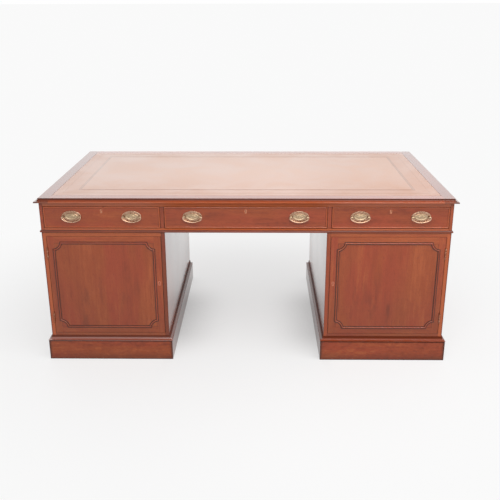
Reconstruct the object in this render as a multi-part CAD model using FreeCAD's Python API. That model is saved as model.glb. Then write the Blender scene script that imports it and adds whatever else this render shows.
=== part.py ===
import FreeCAD, Part
import math
import os
from FreeCAD import Vector

# Partners desk in millimetres: +Z up, X along its length, the front faces -Y.
# The origin is on the floor under the middle of the top. Front and back are alike.

# Overall sizes
top_length = 1825.0
top_depth = 1026.0
desk_height = 768.0
top_thickness = 18.0
top_overhang = 17.5
cut_overrun = 2.0

# Top: a mitred border with a moulded edge round a leather-lined panel
border_width = 65.0
leather_thickness = 1.6
edge_inset = 15.0
edge_round = 1.6
edge_band = 3.2
edge_quirk = 0.6
edge_lip = 6.0
edge_lip_round = 2.6
flare_sag_share = 0.2

# Frieze: rails, ends and dividers that hold three drawers on each side of a spine
frieze_height = 137.0
top_rail_height = 19.0
bottom_rail_height = 19.5
frieze_rail_depth = 60.0
frieze_end_thickness = 14.5
divider_thickness = 17.0
centre_opening = 709.0
spine_thickness = 18.0
runner_width = 22.0
runner_height = 18.0
stop_length = 50.0
stop_depth = 12.0
stop_height = 4.0
stop_place_share = 0.25
astragal_height = 11.0
astragal_proud = 5.5

# Drawers
drawer_gap = 1.2
drawer_runner_gap = 0.3
drawer_head_gap = 4.0
drawer_back_gap = 8.0
drawer_front_thickness = 22.0
cockbead_width = 7.0
cockbead_depth = 9.0
cockbead_proud = 2.5
lining_thickness = 10.0
lining_bottom = 6.0
lining_bottom_raise = 10.0
lining_groove = 5.0
lining_back_drop = 6.0
joint_fit = 0.2
tail_length = 11.0
tail_root = 15.0
tail_flare = 2.2
tail_count = 3

# Oval handles, escutcheons and locks
handle_inset_side = 123.5
handle_inset_centre = 123.0
handle_lift = 4.6
plate_length = 84.0
plate_height = 50.5
plate_sheet = 1.4
plate_rim_width = 3.4
plate_rim_height = 3.0
boss_length = 60.0
boss_height = 29.0
boss_crest = 24.0
boss_dip = 15.0
boss_heart = 10.0
boss_crest_height = 4.2
boss_dip_height = 3.4
boss_heart_height = 4.8
boss_bulge_share = 0.28
post_spread = 71.0
post_base_radius = 3.0
post_base_height = 1.6
post_radius = 2.4
bolt_radius = 2.2
eye_radius = 4.2
eye_half = 3.2
pivot_proud = 9.6
bail_radius = 2.2
bail_pivot_fit = 0.1
bail_side_gap = 0.4
bail_drop = 24.0
bail_shoulder = 14.0
nut_width = 9.0
nut_height = 3.5
escutcheon_radius = 5.0
escutcheon_length = 17.0
escutcheon_foot = 3.4
escutcheon_depth = 1.6
escutcheon_proud = 0.4
escutcheon_lift = 31.2
keyhole_radius = 2.3
keyhole_slot = 2.2
lock_width = 46.0
lock_height = 32.0
lock_depth = 9.0
lock_head_gap = 8.0

# Pedestals
kneehole_width = 708.0
side_thickness = 18.0
pedestal_board = 18.0
cupboard_floor = 128.0
partition_thickness = 15.0
shelf_thickness = 15.0
shelf_play = 0.3
shelf_setback = 8.0
shelf_place_share = 0.5
batten_width = 15.0
batten_height = 20.0
plinth_height = 91.0
plinth_thickness = 14.5
cap_height = 23.0
cap_quirk_height = 3.0
cap_quirk_depth = 3.0
cap_lip = 3.5
cap_nose = 1.0
cap_crest = 3.0
cap_crest_height = 2.5
cap_sag_share = 0.24
dowel_radius = 5.0
dowel_half = 11.0
dowel_inset = 30.0
dowel_end = 80.0

# Cupboard doors
door_gap = 1.5
door_end_gap = 0.9
door_thickness = 20.0
door_stile = 31.0
door_rail = 30.0
panel_thickness = 14.0
panel_tongue = 7.0
panel_tongue_thickness = 5.0
panel_tongue_setback = 5.0
moulding_inset_hinge = 22.0
moulding_inset_lock = 26.5
moulding_inset_end = 24.0
moulding_width = 12.0
moulding_base = 1.0
moulding_bead = 3.0
moulding_corner = 33.0
door_lock_width = 22.0
door_lock_height = 60.0
door_lock_lift = 12.0
door_escutcheon_inset = 15.0
door_escutcheon_share = 1.25

# Butt hinges
hinge_height = 50.0
hinge_low = 78.0
hinge_high = 76.0
hinge_knuckles = 5
knuckle_radius = 2.6
knuckle_stand_off = 0.4
knuckle_gap = 0.3
pin_radius = 1.2
pin_fit = 0.1
leaf_thickness = 1.5
leaf_gap = 0.3
leaf_depth = 17.0

# Places that follow from the sizes
body_x = top_length / 2 - top_overhang
body_y = top_depth / 2 - top_overhang
panel_x = top_length / 2 - border_width
panel_y = top_depth / 2 - border_width
frieze_top = desk_height - top_thickness
frieze_bottom = frieze_top - frieze_height
opening_bottom = frieze_bottom + bottom_rail_height
opening_top = frieze_top - top_rail_height
opening_middle = (opening_bottom + opening_top) / 2
handle_z = opening_middle + handle_lift
end_face = body_x - frieze_end_thickness
divider_x = centre_opening / 2 + divider_thickness / 2
side_opening = end_face - centre_opening / 2 - divider_thickness
side_centre = end_face - side_opening / 2
rail_back = body_y - frieze_rail_depth
spine_face = spine_thickness / 2
knee_x = kneehole_width / 2
pedestal_half = (body_x - knee_x) / 2
pedestal_centre = (body_x + knee_x) / 2
cupboard_top = frieze_bottom - pedestal_board
partition_face = partition_thickness / 2
cupboard_inner = knee_x + side_thickness
cupboard_outer = body_x - side_thickness
door_inner = cupboard_inner + door_gap
door_outer = cupboard_outer - door_gap
door_bottom = cupboard_floor + door_end_gap
door_top = cupboard_top - door_end_gap
door_middle = (door_bottom + door_top) / 2
door_lock_z = door_middle + door_lock_lift
door_back = body_y - door_thickness
hinge_x = cupboard_outer - door_gap / 2
hinge_y = body_y + knuckle_radius + knuckle_stand_off
hinge_places = (door_bottom + hinge_low, door_top - hinge_high)
post_x = post_spread / 2
bail_half = post_x + eye_half + bail_side_gap + bail_radius

ORIGIN = Vector(0, 0, 0)
ALONG_X = Vector(1, 0, 0)
UP = Vector(0, 0, 1)
LEFT, RIGHT = -1, 1


# Shared shapes
def board(across, deep, high):
    """A rectangular piece between two values on each axis, given in either order."""
    low = Vector(min(across), min(deep), min(high))
    size = [abs(pair[1] - pair[0]) for pair in (across, deep, high)]
    return Part.makeBox(*size, low)


def flat(a, b):
    """A point of a plan drawn in the XY plane."""
    return Vector(a, b, 0)


def upright(a, b):
    """A point of a profile drawn in the XZ plane."""
    return Vector(a, 0, b)


def outline(plane, start, *steps):
    """A face bounded by straight runs to a point and by arcs given as (middle, end) pairs."""
    edges = []
    here = start
    for step in steps + (start,):
        middle, there = step if isinstance(step[0], tuple) else (None, step)
        if middle:
            edges.append(Part.Arc(plane(*here), plane(*middle), plane(*there)).toShape())
        else:
            edges.append(Part.makeLine(plane(*here), plane(*there)))
        here = there
    return Part.Face(Part.Wire(edges))


def arc_middle(centre, start, end):
    """The middle of the short arc about centre from start to end."""
    lean = [start[i] + end[i] - 2 * centre[i] for i in range(2)]
    stretch = math.dist(centre, start) / math.hypot(*lean)
    return tuple(centre[i] + lean[i] * stretch for i in range(2))


def sagged(start, end, corner, share):
    """The middle of an arc from start to end, drawn towards corner by a share of the way."""
    middle = [(start[i] + end[i]) / 2 for i in range(2)]
    return tuple(middle[i] + (corner[i] - middle[i]) * 2 * share for i in range(2))


def prism(face, height):
    return face.extrude(UP * height)


def joined(*solids):
    """One solid made from overlapping pieces."""
    return solids[0].multiFuse(list(solids[1:])).removeSplitter().Solids[0]


def without(solid, tools):
    """The solid with every tool that reaches it cut away."""
    for tool in tools:
        if solid.BoundBox.intersect(tool.BoundBox):
            solid = solid.cut(tool).Solids[0]
    return solid


def mitred_length(profile, half_out, half_along):
    """A profile run along Y at half_out, its ends cut at 45 degrees about the corners."""
    span = profile.BoundBox
    near = half_along + span.XMin
    far = half_along + span.XMax
    run = profile.translated(Vector(half_out, -far, 0)).extrude(Vector(0, 2 * far, 0))
    plan = outline(
        flat,
        (half_out + span.XMin, -near),
        (half_out + span.XMax, -far),
        (half_out + span.XMax, far),
        (half_out + span.XMin, near),
    )
    wedge = prism(plan.translated(UP * span.ZMin), span.ZLength)
    return run.common(wedge).Solids[0]


def mitred_frame(profile, half_x, half_y):
    """Four mitred lengths round a rectangle; the profile's x runs outward from its edge."""
    lengths = []
    for turn in range(4):
        half_out, half_along = (half_y, half_x) if turn % 2 else (half_x, half_y)
        length = mitred_length(profile, half_out, half_along)
        length.rotate(ORIGIN, UP, 90 * turn)
        lengths.append(length)
    return lengths


def on_front(shape, x, z):
    """A shape drawn right, up and out, stood on the front face at x, z."""
    stood = shape.copy()
    stood.rotate(ORIGIN, ALONG_X, 90)
    stood.translate(Vector(x, -body_y, z))
    return stood


def turned_back(shape):
    """The same piece on the back of the desk."""
    return shape.rotated(ORIGIN, UP, 180)


def both_faces(solids):
    return solids + [turned_back(solid) for solid in solids]


# Dowels that locate the top on the frieze and the frieze on the pedestals
def dowel(x, y, z):
    return Part.makeCylinder(dowel_radius, 2 * dowel_half, Vector(x, y, z - dowel_half))


def dowels():
    y = -(body_y - dowel_inset)
    on_top = [dowel(x, y, frieze_top) for x in (-side_centre, 0, side_centre)]
    places = [s * x for s in (LEFT, RIGHT) for x in (knee_x + dowel_end, body_x - dowel_end)]
    on_pedestals = [dowel(x, y, frieze_bottom) for x in places]
    return both_faces(on_top + on_pedestals)


# Top
def edge_profile():
    """Section of the border, out from the leather: rounded arris, quirk, hollow flare and lip."""
    arris = border_width - edge_inset
    shelf = desk_height - edge_band
    lip_top = frieze_top + edge_lip
    lip_shoulder = (border_width - edge_lip_round, lip_top)
    lip_side = (border_width, lip_top - edge_lip_round)
    lip_centre = (border_width - edge_lip_round, lip_top - edge_lip_round)
    round_start = (arris - edge_round, desk_height)
    round_end = (arris, desk_height - edge_round)
    round_centre = (arris - edge_round, desk_height - edge_round)
    flare = (arris - edge_quirk, shelf)
    return outline(
        upright,
        (0, frieze_top),
        (0, desk_height),
        round_start,
        (arc_middle(round_centre, round_start, round_end), round_end),
        (arris, shelf),
        flare,
        (sagged(flare, lip_shoulder, (flare[0], lip_top), flare_sag_share), lip_shoulder),
        (arc_middle(lip_centre, lip_shoulder, lip_side), lip_side),
        (border_width, frieze_top),
    )


def top_pieces(pegs):
    border = mitred_frame(edge_profile(), panel_x, panel_y)
    bed = desk_height - leather_thickness
    across = (-panel_x, panel_x)
    deep = (-panel_y, panel_y)
    return {
        "top_border": [without(length, pegs) for length in border],
        "top_core_panel": [board(across, deep, (frieze_top, bed))],
        "leather_writing_surface": [board(across, deep, (bed, desk_height))],
    }


# Frieze
def frieze_rails(pegs):
    across = (-end_face, end_face)
    deep = (-body_y, -rail_back)
    upper = board(across, deep, (opening_top, frieze_top))
    lower = board(across, deep, (frieze_bottom, opening_bottom))
    spine = board(across, (-spine_face, spine_face), (frieze_bottom, frieze_top))
    return [without(rail, pegs) for rail in both_faces([upper, lower])] + [spine]


def frieze_uprights():
    high = (opening_bottom, opening_top)
    half = divider_thickness / 2
    ends = [board((s * end_face, s * body_x), (-body_y, body_y), (frieze_bottom, frieze_top))
            for s in (LEFT, RIGHT)]
    dividers = [board((s * divider_x - half, s * divider_x + half), (-body_y, -spine_face), high)
                for s in (LEFT, RIGHT)]
    return ends + both_faces(dividers)


def drawer_runners():
    """Runners under the drawer sides, kickers above them, and stops behind the fronts."""
    deep = (-rail_back, -spine_face)
    runner = (opening_bottom - runner_height, opening_bottom)
    kicker = (opening_top, frieze_top)
    reach = divider_thickness / 2 + runner_width
    strips = []
    for s in (LEFT, RIGHT):
        for high in (runner, kicker):
            strips.append(board((s * end_face, s * (end_face - runner_width)), deep, high))
            strips.append(board((s * divider_x - reach, s * divider_x + reach), deep, high))
    stop_front = -body_y + drawer_front_thickness
    stop_deep = (stop_front, stop_front + stop_depth)
    stop_high = (opening_bottom, opening_bottom + stop_height)
    for centre, width in ((-side_centre, side_opening), (0, centre_opening), (side_centre, side_opening)):
        for s in (LEFT, RIGHT):
            x = centre + s * width * stop_place_share
            strips.append(board((x - stop_length / 2, x + stop_length / 2), stop_deep, stop_high))
    return both_faces(strips)


def frieze_astragal():
    """A half-round bead mitred round the foot of the frieze."""
    top = frieze_bottom + astragal_height
    middle = frieze_bottom + astragal_height / 2
    bead = outline(upright, (0, frieze_bottom), ((astragal_proud, middle), (0, top)))
    return mitred_frame(bead, body_x, body_y)


# Drawer brass, drawn right, up and out from the drawer's face
def oval(section, length, height):
    """A section turned about the plate's middle, its height then drawn in from its length."""
    squeeze = FreeCAD.Matrix()
    squeeze.scale(1, height / length, 1)
    return section.revolve(ORIGIN, UP, 360).transformGeometry(squeeze).Solids[0]


def handle_boss():
    """The raised middle of a plate: a rounded ring round a low heart."""
    foot = (boss_length / 2, plate_sheet)
    crest = (boss_crest, boss_crest_height)
    dip = (boss_dip, boss_dip_height)
    heart = (boss_heart, boss_heart_height)
    section = outline(
        upright,
        (0, plate_sheet / 2),
        (boss_length / 2, plate_sheet / 2),
        foot,
        (sagged(foot, crest, (foot[0], crest[1]), boss_bulge_share), crest),
        (sagged(crest, dip, (crest[0], dip[1]), boss_bulge_share), dip),
        (sagged(dip, heart, (dip[0], heart[1]), boss_bulge_share), heart),
        (0, boss_heart_height),
    )
    return oval(section, boss_length, boss_height)


def handle_plate():
    """An oval pressed plate with a rolled rim, a boss and a hole for each bolt."""
    half = plate_length / 2
    section = outline(
        upright,
        (0, 0),
        (half, 0),
        (half, plate_sheet / 2),
        ((half - plate_rim_width / 2, plate_rim_height), (half - plate_rim_width, plate_sheet)),
        (0, plate_sheet),
    )
    plate = joined(oval(section, plate_length, plate_height), handle_boss())
    hole = Part.makeCylinder(bolt_radius + joint_fit, plate_rim_height + cut_overrun)
    return without(plate, [hole.translated(Vector(s * post_x, 0, -cut_overrun / 2)) for s in (LEFT, RIGHT)])


def handle_post(x):
    """A turned post with an eye for the bail and a bolt through the drawer front."""
    base = Part.makeCylinder(post_base_radius, post_base_height, Vector(x, 0, plate_sheet))
    shank = Part.makeCylinder(post_radius, pivot_proud - plate_sheet, Vector(x, 0, plate_sheet))
    eye = Part.makeCylinder(eye_radius, 2 * eye_half, Vector(x - eye_half, 0, pivot_proud), ALONG_X)
    bolt_length = plate_sheet + drawer_front_thickness + nut_height
    bolt = Part.makeCylinder(bolt_radius, bolt_length, Vector(x, 0, plate_sheet - bolt_length))
    pivot_length = 2 * (eye_half + cut_overrun)
    pivot_start = Vector(x - eye_half - cut_overrun, 0, pivot_proud)
    pivot = Part.makeCylinder(bail_radius + bail_pivot_fit, pivot_length, pivot_start, ALONG_X)
    return joined(base, shank, eye, bolt).cut(pivot).Solids[0]


def handle_nut(x):
    """A hexagonal nut on the bolt, inside the drawer."""
    radius = nut_width / math.sqrt(3)
    corners = [(x + radius * math.cos(math.radians(60 * i)), radius * math.sin(math.radians(60 * i)))
               for i in range(6)]
    hexagon = prism(outline(flat, *corners), nut_height)
    hole = Part.makeCylinder(bolt_radius, nut_height, Vector(x, 0, 0))
    return hexagon.cut(hole).Solids[0].translated(UP * -(drawer_front_thickness + nut_height))


def handle_pieces():
    pieces = [handle_plate()]
    for s in (LEFT, RIGHT):
        pieces.append(handle_post(s * post_x))
        pieces.append(handle_nut(s * post_x))
    return pieces


def bail():
    """A drop handle that follows the plate's lower rim, its ends turned into the posts' eyes."""
    bend = bail_radius + bail_side_gap
    depth = bail_drop - bend
    small_x = bail_half - bail_shoulder
    large = (small_x ** 2 + depth ** 2 - bail_shoulder ** 2) / (2 * (depth - bail_shoulder))
    lean = math.atan2(small_x, large - depth)
    join_x = large * math.sin(lean)
    join_y = large - depth - large * math.cos(lean) - bend
    middle_turn = (math.pi / 2 - lean) / 2
    small_mid_x = small_x + bail_shoulder * math.cos(middle_turn)
    small_mid_y = -bend - bail_shoulder * math.sin(middle_turn)
    inner = post_x - eye_half
    turn_x = bail_half - bend
    corner_x = turn_x + bend * math.sin(math.pi / 4)
    corner_y = -bend + bend * math.cos(math.pi / 4)

    def arc(start, middle, end):
        return Part.Arc(*[Vector(*point, pivot_proud) for point in (start, middle, end)]).toShape()

    edges = [Part.makeLine(Vector(-inner, 0, pivot_proud), Vector(-turn_x, 0, pivot_proud))]
    edges.append(arc((-turn_x, 0), (-corner_x, corner_y), (-bail_half, -bend)))
    edges.append(arc((-bail_half, -bend), (-small_mid_x, small_mid_y), (-join_x, join_y)))
    edges.append(arc((-join_x, join_y), (0, -bail_drop), (join_x, join_y)))
    edges.append(arc((join_x, join_y), (small_mid_x, small_mid_y), (bail_half, -bend)))
    edges.append(arc((bail_half, -bend), (corner_x, corner_y), (turn_x, 0)))
    edges.append(Part.makeLine(Vector(turn_x, 0, pivot_proud), Vector(inner, 0, pivot_proud)))
    section = Part.Wire(Part.makeCircle(bail_radius, Vector(-inner, 0, pivot_proud), ALONG_X))
    return Part.Wire(edges).makePipeShell([section], True, False).Solids[0]


def escutcheon(share):
    """A keyhole plate let into the wood, with the keyhole through it, and the seat that it needs."""
    radius = escutcheon_radius * share
    foot = escutcheon_foot * share
    tail = radius - escutcheon_length * share
    neck = radius * math.cos(math.radians(30))
    neck_y = -radius * math.sin(math.radians(30))
    plate = outline(flat, (-neck, neck_y), ((0, radius), (neck, neck_y)), (foot, tail), (-foot, tail))
    hole = Part.Face(Part.Wire(Part.makeCircle(keyhole_radius * share)))
    slot_half = keyhole_slot * share / 2
    slot_foot = tail + foot - slot_half
    slot = outline(flat, (-slot_half, 0), (slot_half, 0), (slot_half, slot_foot), (-slot_half, slot_foot))
    thickness = escutcheon_depth + escutcheon_proud
    seat = prism(plate, thickness)
    solid = without(seat, [prism(hole, thickness), prism(slot, thickness)])
    return [piece.translated(UP * -escutcheon_depth) for piece in (solid, seat)]


# Drawers, built at the middle of the front
def dovetails(outer, height_low, height_high, front_back):
    """Tails on the end of a drawer side, each wider at its tip."""
    inner = outer - math.copysign(lining_thickness, outer)
    pitch = (height_high - height_low) / tail_count
    tails = []
    for i in range(tail_count):
        middle = height_low + pitch * (i + 1 / 2)
        root = tail_root / 2
        tip = root + tail_flare
        corners = [Vector(outer, front_back, middle - root), Vector(outer, front_back, middle + root),
                   Vector(outer, front_back - tail_length, middle + tip),
                   Vector(outer, front_back - tail_length, middle - tip)]
        face = Part.Face(Part.makePolygon(corners + corners[:1]))
        tails.append(face.extrude(Vector(inner - outer, 0, 0)))
    return tails


def drawer_front(half, low, high, tools):
    """The front board, rebated for its cockbeads, and the four mitred beads."""
    face = -body_y
    core = board((cockbead_width - half, half - cockbead_width), (face, face + cockbead_depth),
                 (low + cockbead_width, high - cockbead_width))
    backing = board((-half, half), (face + cockbead_depth, face + drawer_front_thickness), (low, high))
    front = without(joined(core, backing), tools)
    nose = cockbead_proud - cockbead_width / 2
    bead = outline(upright, (-cockbead_width, -cockbead_depth), (-cockbead_width, nose),
                   ((-cockbead_width / 2, cockbead_proud), (0, nose)), (0, -cockbead_depth))
    beads = mitred_frame(bead, half, (high - low) / 2)
    return [front] + [on_front(length, 0, (low + high) / 2) for length in beads]


def drawer(opening, handle_inset):
    """Front, lining, brass and two bails of the drawer for one opening."""
    half = opening / 2 - drawer_gap
    low = opening_bottom + drawer_gap
    high = opening_top - drawer_gap
    side_low = opening_bottom + drawer_runner_gap
    side_high = opening_top - drawer_head_gap
    front_back = -body_y + drawer_front_thickness
    rear = -spine_face - drawer_back_gap
    bed = side_low + lining_bottom_raise
    inner = half - lining_thickness
    bottom_half = inner + lining_groove
    bottom = board((-bottom_half, bottom_half), (front_back - lining_groove, rear),
                   (bed, bed + lining_bottom))
    sides = []
    sockets = [bottom]
    for s in (LEFT, RIGHT):
        tails = dovetails(s * half, low + cockbead_width, side_high, front_back)
        plank = board((s * half, s * inner), (front_back, rear), (side_low, side_high))
        sides.append(joined(plank, *tails).cut(bottom).Solids[0])
        sockets += tails
    back = board((-inner, inner), (rear - lining_thickness, rear),
                 (bed + lining_bottom, side_high - lining_back_drop))
    lock_top = high - lock_head_gap
    lock = board((-lock_width / 2, lock_width / 2), (front_back - lock_depth, front_back),
                 (lock_top - lock_height, lock_top))
    keyhole, keyhole_seat = [on_front(solid, 0, opening_middle + escutcheon_lift) for solid in escutcheon(1)]
    brass = [keyhole, lock]
    bails = []
    for s in (LEFT, RIGHT):
        x = s * (opening / 2 - handle_inset)
        brass += [on_front(piece, x, handle_z) for piece in HANDLE]
        bails.append(on_front(BAIL, x, handle_z))
        for t in (LEFT, RIGHT):
            bore = Part.makeCylinder(bolt_radius + joint_fit, drawer_front_thickness)
            bore.translate(Vector(t * post_x, 0, -drawer_front_thickness))
            sockets.append(on_front(bore, x, handle_z))
    front = drawer_front(half, low, high, sockets + [lock, keyhole_seat])
    return front, sides + [back, bottom], brass, bails


# Pedestals
def shelf_height():
    return cupboard_floor + (cupboard_top - cupboard_floor) * shelf_place_share


def pedestal_sides(recesses):
    high = (0, frieze_bottom)
    sides = []
    for s in (LEFT, RIGHT):
        for face, back in ((knee_x, cupboard_inner), (body_x, cupboard_outer)):
            side = board((s * face, s * back), (-body_y, body_y), high)
            sides.append(without(side, recesses))
    return sides


def pedestal_boards(pegs):
    """Top and bottom boards and the partition that parts the two cupboards."""
    boards = []
    for s in (LEFT, RIGHT):
        across = (s * cupboard_inner, s * cupboard_outer)
        deep = (-body_y, body_y)
        boards.append(without(board(across, deep, (cupboard_top, frieze_bottom)), pegs))
        boards.append(board(across, deep, (cupboard_floor - pedestal_board, cupboard_floor)))
        boards.append(board(across, (-partition_face, partition_face), (cupboard_floor, cupboard_top)))
    return boards


def cupboard_shelves():
    """A shelf in each cupboard on two battens."""
    top = shelf_height()
    rest = top - shelf_thickness
    deep = (shelf_setback - door_back, -partition_face)
    pieces = []
    for s in (LEFT, RIGHT):
        inner, outer = s * cupboard_inner, s * cupboard_outer
        play, width = s * shelf_play, s * batten_width
        pieces.append(board((inner + play, outer - play), deep, (rest, top)))
        pieces.append(board((inner, inner + width), deep, (rest - batten_height, rest)))
        pieces.append(board((outer, outer - width), deep, (rest - batten_height, rest)))
    return both_faces(pieces)


def plinth_boards():
    """Mitred plinth boards and the rails behind them that close the pedestal's foot."""
    section = outline(upright, (0, 0), (plinth_thickness, 0), (plinth_thickness, plinth_height),
                      (0, plinth_height))
    frame = mitred_frame(section, pedestal_half, body_y)
    pieces = [length.translated(Vector(s * pedestal_centre, 0, 0))
              for s in (LEFT, RIGHT) for length in frame]
    deep = (-body_y, pedestal_board - body_y)
    rails = [board((s * cupboard_inner, s * cupboard_outer), deep, (0, cupboard_floor - pedestal_board))
             for s in (LEFT, RIGHT)]
    return pieces + both_faces(rails)


def plinth_caps():
    """The hollow moulding with a rounded lip over a quirk that tops the plinth."""
    nose = plinth_thickness + cap_nose
    quirk = plinth_thickness - cap_quirk_depth
    lip_bottom = plinth_height + cap_quirk_height
    lip_top = lip_bottom + cap_lip
    top = plinth_height + cap_height
    lip_shoulder = (plinth_thickness, lip_top)
    crest = (cap_crest, top - cap_crest_height)
    section = outline(
        upright,
        (0, plinth_height),
        (quirk, plinth_height),
        (quirk, lip_bottom),
        (plinth_thickness, lip_bottom),
        ((nose, lip_bottom + cap_lip / 2), lip_shoulder),
        (sagged(lip_shoulder, crest, (cap_crest, lip_top), cap_sag_share), crest),
        (cap_crest, top),
        (0, top),
    )
    frame = mitred_frame(section, pedestal_half, body_y)
    return [length.translated(Vector(s * pedestal_centre, 0, 0))
            for s in (LEFT, RIGHT) for length in frame]


# Butt hinges on the outer sides; a leaf's plate is let into the wood
def leaf_plate(s, z, moving):
    """The flat of a leaf: the moving one lies on the door's edge, the fixed one on the side."""
    turn = -1 if moving else 1
    near = hinge_x + turn * leaf_gap / 2
    far = near + turn * leaf_thickness
    high = (z - hinge_height / 2, z + hinge_height / 2)
    return board((s * near, s * far), (-body_y, leaf_depth - body_y), high)


def hinge_leaf(s, z, moving):
    """A leaf with every second knuckle; the fixed leaf has the outer ones."""
    plate = leaf_plate(s, z, moving)
    span = plate.BoundBox
    pitch = hinge_height / hinge_knuckles
    pieces = [plate]
    for i in range(1 if moving else 0, hinge_knuckles, 2):
        low = z - hinge_height / 2 + pitch * i + (knuckle_gap / 2 if i else 0)
        high = z - hinge_height / 2 + pitch * (i + 1) - (knuckle_gap / 2 if i < hinge_knuckles - 1 else 0)
        pieces.append(Part.makeCylinder(knuckle_radius, high - low, Vector(s * hinge_x, -hinge_y, low)))
        pieces.append(board((span.XMin, span.XMax), (-hinge_y, -body_y), (low, high)))
    bore_radius = pin_radius + pin_fit if moving else pin_radius
    low_end = Vector(s * hinge_x, -hinge_y, z - hinge_height / 2)
    bore = Part.makeCylinder(bore_radius, hinge_height, low_end)
    return joined(*pieces).cut(bore).Solids[0]


def hinge_pin(s, z):
    return Part.makeCylinder(pin_radius, hinge_height, Vector(s * hinge_x, -hinge_y, z - hinge_height / 2))


def fixed_leaves():
    pieces = []
    for s in (LEFT, RIGHT):
        for z in hinge_places:
            pieces += [hinge_leaf(s, z, False), hinge_pin(s, z)]
    return both_faces(pieces)


def leaf_recesses():
    return both_faces([leaf_plate(s, z, False) for s in (LEFT, RIGHT) for z in hinge_places])


# Doors
def door_panel(s):
    """The panel with its tongue, and the groove that the tongue needs."""
    face = -body_y
    across = (s * (door_inner + door_stile), s * (door_outer - door_stile))
    high = (door_bottom + door_rail, door_top - door_rail)
    tongue_face = face + panel_tongue_setback
    deep = (tongue_face, tongue_face + panel_tongue_thickness)

    def grown(reach):
        wide = (across[0] - s * reach, across[1] + s * reach)
        return wide, deep, (high[0] - reach, high[1] + reach)

    field = board(across, (face, face + panel_thickness), high)
    tongue = board(*grown(panel_tongue - joint_fit))
    return joined(field, tongue), board(*grown(panel_tongue))


def door_frame(s, tools):
    deep = (-body_y, -door_back)
    pieces = [board((s * edge, s * (edge + width)), deep, (door_bottom, door_top))
              for edge, width in ((door_inner, door_stile), (door_outer, -door_stile))]
    across = (s * (door_inner + door_stile), s * (door_outer - door_stile))
    pieces += [board(across, deep, (edge, edge + width))
               for edge, width in ((door_bottom, door_rail), (door_top, -door_rail))]
    return [without(piece, tools) for piece in pieces]


def moulding_profile(start, turn):
    """A bead between two flats; start is where it begins and turn which way it runs."""
    width = moulding_width
    flank = width / 2 - moulding_bead
    height = moulding_base + moulding_bead
    across = [start + turn * x for x in (0, flank, width / 2, width - flank, width)]
    return outline(
        upright,
        (across[0], 0),
        (across[0], moulding_base),
        (across[1], moulding_base),
        ((across[2], height), (across[3], moulding_base)),
        (across[4], moulding_base),
        (across[4], 0),
    )


def moulding_run(half_out, half_along):
    """A straight length, mitred to the hollow corners; it runs along Y at half_out."""
    inner_cut = math.sqrt(moulding_corner ** 2 + 2 * moulding_corner * moulding_width)
    outer_end = half_along - moulding_corner
    inner_end = half_along - inner_cut
    inner = half_out - moulding_width
    plan = outline(flat, (half_out, -outer_end), (half_out, outer_end),
                   (inner, inner_end), (inner, -inner_end))
    run = moulding_profile(half_out, -1).translated(Vector(0, -half_along, 0))
    wedge = prism(plan, moulding_base + moulding_bead)
    return run.extrude(Vector(0, 2 * half_along, 0)).common(wedge).Solids[0]


def moulding_hollow():
    """A hollow quarter-round corner about the origin, in the quarter where x and y are negative."""
    reach = math.sqrt(moulding_corner ** 2 + 2 * moulding_corner * moulding_width)
    ring = moulding_profile(moulding_corner, 1).revolve(ORIGIN, UP, 360)
    plan = outline(flat, (-moulding_corner, 0), (-reach, -moulding_width), (-reach, -reach),
                   (-moulding_width, -reach), (0, -moulding_corner))
    return ring.common(prism(plan, moulding_base + moulding_bead)).Solids[0]


def door_moulding(s):
    """Four straight lengths and four hollow corners applied to the door's face."""
    lock_edge = door_inner + moulding_inset_lock
    hinge_edge = door_outer - moulding_inset_hinge
    half_x = (hinge_edge - lock_edge) / 2
    half_y = (door_top - door_bottom) / 2 - moulding_inset_end
    pieces = []
    for turn in range(4):
        out, along = (half_y, half_x) if turn % 2 else (half_x, half_y)
        run = moulding_run(out, along)
        corner = moulding_hollow().translated(Vector(out, along, 0))
        pieces += [run.rotated(ORIGIN, UP, 90 * turn), corner.rotated(ORIGIN, UP, 90 * turn)]
    return [on_front(piece, s * (lock_edge + hinge_edge) / 2, door_middle) for piece in pieces]


def door(s):
    """Frame, panel, moulding and brass of the left or right front door."""
    panel, groove = door_panel(s)
    stile_middle = door_inner + door_stile / 2
    lock = board((s * (stile_middle - door_lock_width / 2), s * (stile_middle + door_lock_width / 2)),
                 (-door_back - lock_depth, -door_back),
                 (door_lock_z - door_lock_height / 2, door_lock_z + door_lock_height / 2))
    keyhole_z = door_lock_z + (escutcheon_length / 2 - escutcheon_radius) * door_escutcheon_share
    keyhole, seat = [on_front(solid, s * (door_inner + door_escutcheon_inset), keyhole_z)
                     for solid in escutcheon(door_escutcheon_share)]
    leaves = [hinge_leaf(s, z, True) for z in hinge_places]
    recesses = [leaf_plate(s, z, True) for z in hinge_places]
    frame = door_frame(s, [groove, lock, seat] + recesses)
    return frame, [panel], door_moulding(s), leaves + [lock, keyhole]


# Every node by name
HANDLE = handle_pieces()
BAIL = bail()


def drawer_nodes():
    nodes = {}
    side = drawer(side_opening, handle_inset_side)
    centre = drawer(centre_opening, handle_inset_centre)
    places = (("left", -side_centre, side), ("centre", 0, centre), ("right", side_centre, side))
    for place, x, pieces in places:
        in_front = [[solid.translated(Vector(x, 0, 0)) for solid in group] for group in pieces]
        mirrored = [[solid.translated(Vector(-x, 0, 0)) for solid in group] for group in pieces]
        at_back = [[turned_back(solid) for solid in group] for group in mirrored]
        for face, (front, lining, brass, bails) in (("front", in_front), ("back", at_back)):
            name = f"{face}_{place}_drawer"
            nodes[f"{name}_front"] = front
            nodes[f"{name}_box"] = lining
            nodes[f"{name}_brass"] = brass
            left, right = sorted(bails, key=lambda piece: piece.CenterOfMass.x)
            nodes[f"{name}_left_bail"] = [left]
            nodes[f"{name}_right_bail"] = [right]
    return nodes


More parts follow.
